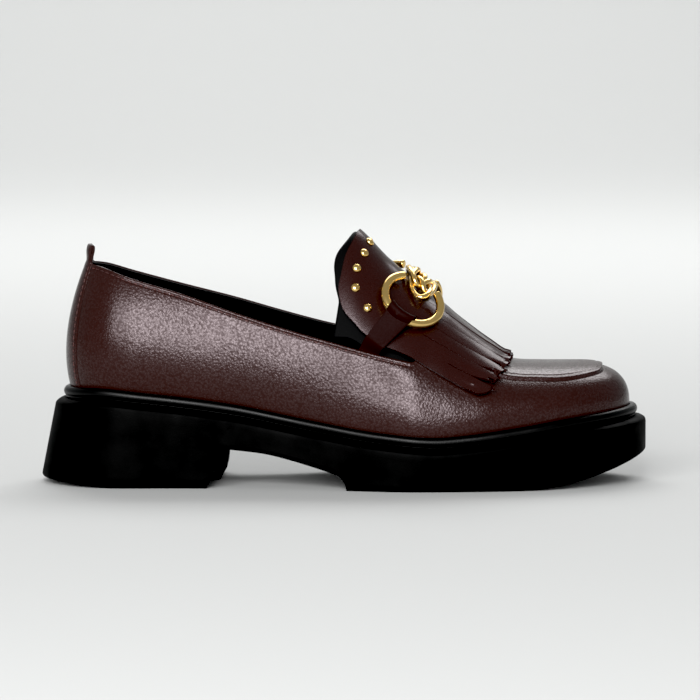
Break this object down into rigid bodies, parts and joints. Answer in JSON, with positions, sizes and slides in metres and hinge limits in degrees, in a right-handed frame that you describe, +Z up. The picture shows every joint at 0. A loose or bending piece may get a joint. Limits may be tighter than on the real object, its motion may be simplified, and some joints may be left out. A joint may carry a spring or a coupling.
{
  "type": "kiltie loafer",
  "caption": "Right kiltie loafer in oxblood leather on a black block-heeled sole, with gilt rings, knot and studs.",
  "frame": {"origin": "on the floor under the middle of the sole's length and width", "axes": "+X to the toe, +Y to the medial side, +Z up from the floor"},
  "size_m": [0.28, 0.1, 0.1163],
  "materials": {
    "leather": "satin",
    "polished_leather": "gloss",
    "rubber": "matt",
    "lining": "matt",
    "gilt": "polished"
  },
  "bodies": {
    "root": {"outsole": "rubber", "welt": "rubber", "insole": "lining", "upper": "leather", "tongue": "lining", "kiltie": "polished_leather", "strap_lateral": "polished_leather", "strap_medial": "polished_leather", "ring_lateral": "gilt", "ring_medial": "gilt", "knot": "gilt", "stud_1": "gilt", "stud_2": "gilt", "stud_3": "gilt", "stud_4": "gilt", "stud_5": "gilt", "stud_6": "gilt", "stud_7": "gilt", "stud_8": "gilt", "stud_9": "gilt", "stud_10": "gilt", "pull_tab": "leather"}
  },
  "joints": []
}
